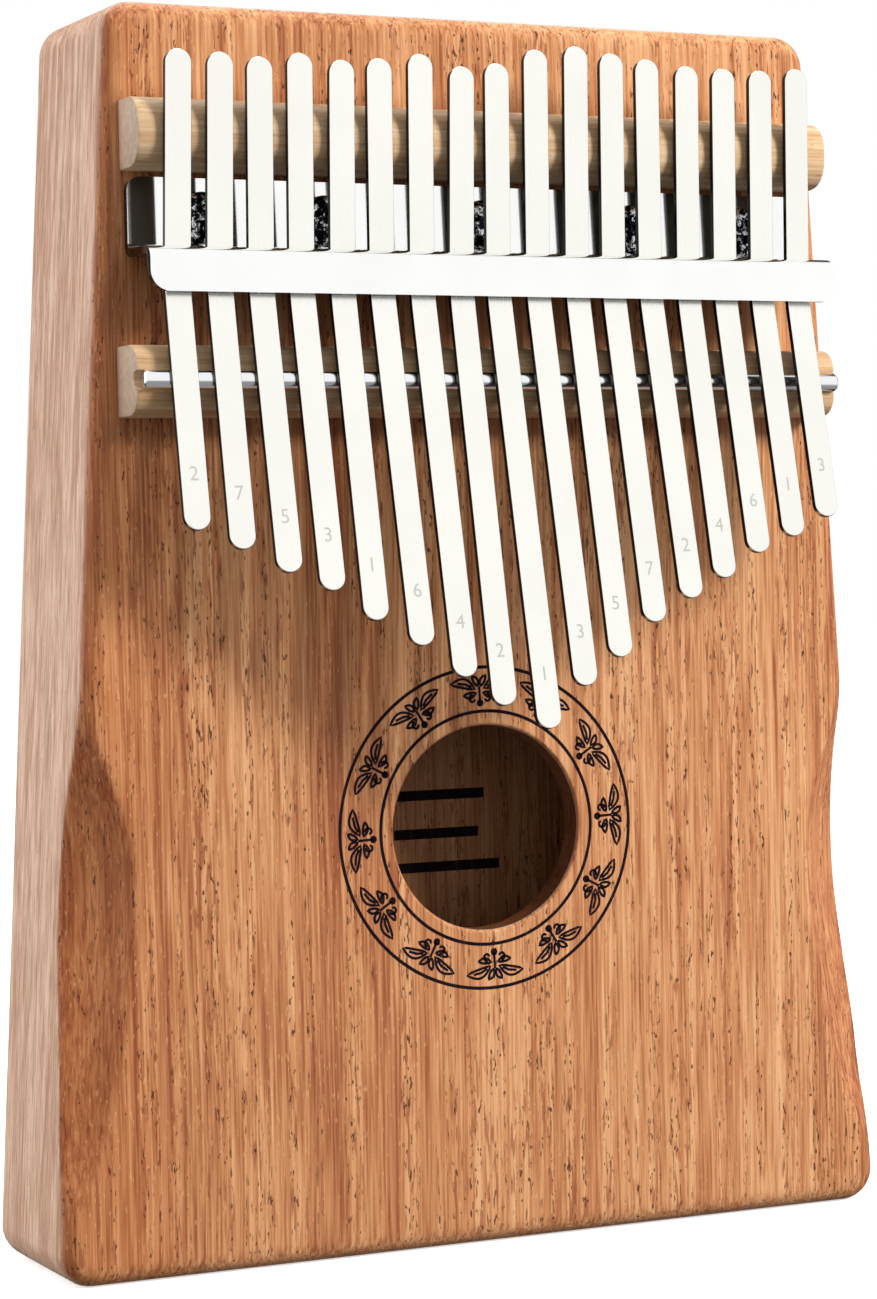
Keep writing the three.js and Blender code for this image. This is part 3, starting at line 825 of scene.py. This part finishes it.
def screw_place(number):
    low, high = box(f"clamp_screw_{number}")
    return (low[0] + high[0]) / 2, (low[2] + high[2]) / 2


def bracket_section():
    """The bent sheet from the side: plate, wall and strip."""
    return [
        (0, PLATE_TOP), (SHEET, PLATE_TOP),
        *arc(SHEET + INNER_BEND, WALL_TOP + INNER_BEND, INNER_BEND, 2 * QUARTER, 3 * QUARTER, 8),
        *arc(STRIP_FACE - OUTER_BEND, WALL_TOP - OUTER_BEND, OUTER_BEND, QUARTER, 0, 12),
        (STRIP_FACE, STRIP_BOTTOM), (STRIP_UNDER, STRIP_BOTTOM),
        *arc(STRIP_UNDER - INNER_BEND, WALL_BOTTOM - INNER_BEND, INNER_BEND, 0, QUARTER, 8),
        *arc(OUTER_BEND, WALL_BOTTOM + OUTER_BEND, OUTER_BEND, 3 * QUARTER, 2 * QUARTER, 12),
    ]


def bracket_slots():
    """A slot in the wall for each tine."""
    floor = tine_line(tail_length(WALL_TOP))[1] - TINE_THICKNESS / 2 - 2 * TINE_CLEARANCE
    bottom = WALL_BOTTOM - INNER_BEND - SLOT_OVERLAP
    outline = rectangle(floor, STRIP_UNDER, bottom, WALL_TOP + PAST)
    middles = [tine_x(number, WALL_BOTTOM) for number in TINES]
    return [prism_x(outline, x - SLOT_WIDTH / 2, x + SLOT_WIDTH / 2) for x in middles]


def bracket_screw_holes():
    outlines = [circle(*screw_place(number), SHANK + SHANK_GAP, 24) for number in SCREWS]
    return [prism_y(outline, FRONT - SHEET - PAST, FRONT + PAST) for outline in outlines]


def bracket_corner(side, z, up, radius, low, high):
    """What rounds off a corner of the plate or the strip, between two heights above the front face."""
    curve = arc(HALF_BRACKET - radius, z - up * radius, radius, 0, up * QUARTER, 10)
    beside, beyond = HALF_BRACKET + PAST, z + up * PAST
    tip = [(beside, z - up * radius), *curve, (HALF_BRACKET - radius, beyond), (beside, beyond)]
    return prism_y([(BRACKET_X + side * x, v) for x, v in tip], FRONT - low, FRONT - high)


def make_bracket():
    sheet = prism_x(bracket_section(), BRACKET_X - HALF_BRACKET, BRACKET_X + HALF_BRACKET)
    bracket = make("clamp_bracket_sheet", *sheet, [chrome], slot="bracket_chrome", ride=False)
    cutters = bracket_slots() + bracket_screw_holes()
    for side, strip_corner in ((-1, LEFT_STRIP_CORNER), (1, RIGHT_STRIP_CORNER)):
        under, over = STRIP_UNDER - SLOT_OVERLAP, STRIP_FACE + PAST
        cutters.append(bracket_corner(side, PLATE_TOP, 1, PLATE_CORNER, -PAST, SHEET + SLOT_OVERLAP))
        cutters.append(bracket_corner(side, STRIP_BOTTOM, -1, strip_corner, under, over))
    cut(bracket, *joined(cutters))
    edges = bracket.modifiers.new("edges", "BEVEL")
    edges.width, edges.segments = SHEET_EDGE * MM, 3
    edges.limit_method, edges.angle_limit = "ANGLE", math.radians(50)
    bake(bracket)
    smooth(bracket, 50)
    weight_normals(bracket)
    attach(bracket, BODY)
    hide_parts("clamp_bracket")


def screw_rings(x, z):
    """A pan-head screw's rings, from its foot in the body to the top of its head."""
    rim, crown = SHEET + HEAD_SIDE, SHEET + HEAD_RISE
    profile = [(-SCREW_DEPTH, 0.2), (-SCREW_DEPTH, SHANK), (SHEET, SHANK)]
    profile += [(SHEET, HEAD - HEAD_EDGE), (SHEET + HEAD_EDGE, HEAD), (rim, HEAD)]
    for angle in np.linspace(0.15, QUARTER, 8):
        profile.append((rim + (crown - rim) * math.sin(angle), HEAD - 2.2 * (1 - math.cos(angle))))
    profile.append((crown, HEAD_TOP))
    return [across_y(circle(x, z, radius, 40), FRONT - height) for height, radius in profile]


def make_screw(number):
    x, z = screw_place(number)
    body = solid(screw_rings(x, z))
    screw = make(f"clamp_screw_{number}_head", *body, [screw_metal], slot="screw_steel", ride=False)
    floor = FRONT - SHEET - HEAD_RISE + RECESS_DEPTH
    for wide, tall in ((RECESS_ARM, RECESS_HALF), (RECESS_HALF, RECESS_ARM)):
        outline = rectangle(x - wide, x + wide, z - tall, z + tall)
        cut(screw, *prism_y(outline, floor, floor - RECESS_DEPTH - PAST))
    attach(screw, BODY)
    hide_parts(f"clamp_screw_{number}")


# ---------- tines ----------

def tine_point(number, across, s, out):
    """A point s up a tine's line from the rod, to one side and out from its middle towards the player."""
    z, height, slope = tine_line(s)
    return tine_x(number, z) + across, FRONT - height - out * math.cos(slope), z + out * math.sin(slope)


def tine_edge():
    """A tine's softened side from top to bottom, as (inset, out from the middle)."""
    upper = []
    for angle in np.linspace(0, QUARTER, 4):
        inset, drop = TINE_EDGE * (1 - math.sin(angle)), TINE_EDGE * (1 - math.cos(angle))
        upper.append((inset, TINE_THICKNESS / 2 - drop))
    return upper + [(inset, -out) for inset, out in reversed(upper)]


def tine_mesh(number, tip, top):
    """A strip with a round end at each end and softened edges."""
    radius, step = TINE_WIDTH / 2, 2.0
    turns = np.linspace(0, QUARTER, 11)
    body = np.arange(tip + radius + step / 2, top - radius - step / 4, step)
    # each station is a centre on the line, a direction along it, and a turn from the end to full width
    stations = [(tip + radius, -1, turn) for turn in turns]
    stations += [(s, 0, QUARTER) for s in body]
    stations += [(top - radius, 1, turn) for turn in turns[::-1]]
    edge = tine_edge()
    rings = []
    for centre, direction, turn in stations:
        ring = []
        for side, levels in ((-1, edge), (1, edge[::-1])):
            for inset, out in levels:
                wide = (radius - inset) * math.sin(turn)
                s = centre + direction * (radius - inset) * math.cos(turn)
                ring.append(tine_point(number, side * wide, s, out))
        rings.append(ring)
    points = np.concatenate(rings)
    return points, outward(points, ring_faces(len(rings), len(rings[0]), closed_ends=False))


def tine_figure(number, s):
    """A tiny raised figure, laid along a tine's top."""
    curve = bpy.data.curves.new("figure", "FONT")
    curve.body, curve.size = NOTES[number - 1], FIGURE_SIZE
    curve.extrude, curve.resolution_u = 0.006, 3
    curve.align_x, curve.align_y = "CENTER", "CENTER"
    holder = bpy.data.objects.new("figure", curve)
    scene.collection.objects.link(holder)
    mesh = evaluated_mesh(holder)
    level = TINE_THICKNESS / 2 + FIGURE_LIFT
    points = [tine_point(number, v.co.x, s + v.co.y, level + v.co.z) for v in mesh.vertices]
    faces = [tuple(polygon.vertices) for polygon in mesh.polygons]
    bpy.data.objects.remove(holder)
    return points, faces


def make_tine(number):
    """One strip for a tine's tail and tongue, with the bend in its line."""
    tail, tongue = f"tine_{number:02d}_tail", f"tine_{number:02d}_tongue"
    tip = -(ROD_Z - box(tongue)[0][2]) / math.cos(RISE)
    strip = tine_mesh(number, tip, tail_length(box(tail)[1][2]))
    figure = tine_figure(number, tip + FIGURE_PLACE)
    materials = [tine_metal, mark_metal]
    tine = make(f"tine_{number:02d}", *joined([strip, figure]), materials, slot="tine_steel", ride=False)
    for face in tine.data.polygons:
        face.material_index = 0 if face.index < len(strip[1]) else 1
    tine.modifiers.new("poles", "WELD").merge_threshold = 0.001 * MM
    bake(tine)
    smooth(tine, 60)
    weight_normals(tine)
    bake(tine)
    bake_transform(tine)
    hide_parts(tail, tongue)


make_soundbox()
paint_back_panel()
make_rosette()
make_inner_bars()
make_upper_bridge()
make_lower_bridge()
make_rod()
make_bracket()
for number in SCREWS:
    make_screw(number)
for number in TINES:
    make_tine(number)


# ---------- floor, light and camera ----------

FLOOR_REACH, FLOOR_DROP = 4000, 0.1
AIM = Vector((0, 0, 0.1))  # the object's middle, in metres


def make_floor():
    outline = rectangle(-FLOOR_REACH, FLOOR_REACH, -FLOOR_REACH, FLOOR_REACH)
    corners = [(x, y, -FLOOR_DROP) for x, y in outline]
    floor = make("floor", corners, [(0, 1, 2, 3)], [pale_floor("pale_floor")], ride=False)
    floor.visible_diffuse = floor.visible_glossy = False


def softbox(name, place, size, power):
    """A soft light, in metres and watts, that the camera doesn't see."""
    light = bpy.data.lights.new(name, "AREA")
    light.shape, light.energy = "RECTANGLE", power
    light.size, light.size_y = size
    holder = bpy.data.objects.new(name, light)
    scene.collection.objects.link(holder)
    holder.location = place
    holder.visible_camera = False
    holder.rotation_euler = (AIM - Vector(place)).to_track_quat("-Z", "Y").to_euler()
    return holder


def make_world():
    """White to the eye, a white studio with a dark far wall in reflections, soft light on matt faces."""
    backdrop, studio, soft = 1.0, 1.05, 0.50
    world = bpy.data.worlds.new("studio")
    scene.world = world
    world.use_nodes = True
    tree = world.node_tree
    tree.nodes.clear()

    def fade(value, low, high, at_low, at_high):
        limits = {"From Min": low, "From Max": high, "To Min": at_low, "To Max": at_high}
        smooth_map = {"Value": value, **limits}
        return add_node(tree, "MapRange", smooth_map, interpolation_type="SMOOTHSTEP").outputs[0]

    def choose(share, other, chosen):
        return add_node(tree, "Mix", {0: share, 2: other, 3: chosen}, data_type="FLOAT").outputs[0]

    generated = add_node(tree, "TexCoord").outputs["Generated"]
    direction = add_node(tree, "SeparateXYZ", {0: generated}).outputs
    facing = fade(direction[1], 0.1, 0.5, studio, 0.03)
    raised = fade(direction[2], -0.45, -0.14, 0.3, 1.0)
    reflected = add_node(tree, "Math", {0: facing, 1: raised}, operation="MULTIPLY").outputs[0]
    diffuse = fade(direction[2], -0.5, 0.3, 0.4 * soft, soft)
    rays = add_node(tree, "LightPath").outputs
    bounced = choose(rays["Is Glossy Ray"], diffuse, reflected)
    strength = choose(rays["Is Camera Ray"], bounced, backdrop)
    background = add_node(tree, "Background", {"Color": colour(1, 1, 1), "Strength": strength})
    add_node(tree, "OutputWorld", {"Surface": background.outputs[0]})


def make_camera():
    """A long lens to the object's left, near its middle height, turned a little down."""
    lens, sensor = 94.1728, 36.0
    place = Vector((-0.22679, -0.47467, 0.10525))
    yaw, pitch, roll = 0.444999, -0.029262, -0.018813
    forward = Vector((math.sin(yaw) * math.cos(pitch), math.cos(yaw) * math.cos(pitch), math.sin(pitch)))
    level = Vector((math.cos(yaw), -math.sin(yaw), 0))
    upright = level.cross(forward)
    right = math.cos(roll) * level + math.sin(roll) * upright
    up = math.cos(roll) * upright - math.sin(roll) * level
    data = bpy.data.cameras.new("camera")
    data.sensor_width, data.lens = sensor, lens
    data.clip_start, data.clip_end = 0.01, 50
    camera = bpy.data.objects.new("camera", data)
    scene.collection.objects.link(camera)
    turn = Matrix((right, up, -forward)).transposed()
    camera.matrix_world = Matrix.Translation(place) @ turn.to_4x4()
    scene.camera = camera


make_floor()
key = softbox("key", (0.60, -0.80, 0.64), (0.32, 0.32), 14)
key.visible_glossy = False
softbox("left_rim", (-1.0, 0.55, 0.45), (0.9, 0.9), 11)
softbox("top_rim", (0.0, 0.25, 0.95), (0.7, 0.4), 4)
make_world()
make_camera()
scene.view_settings.view_transform = "Standard"
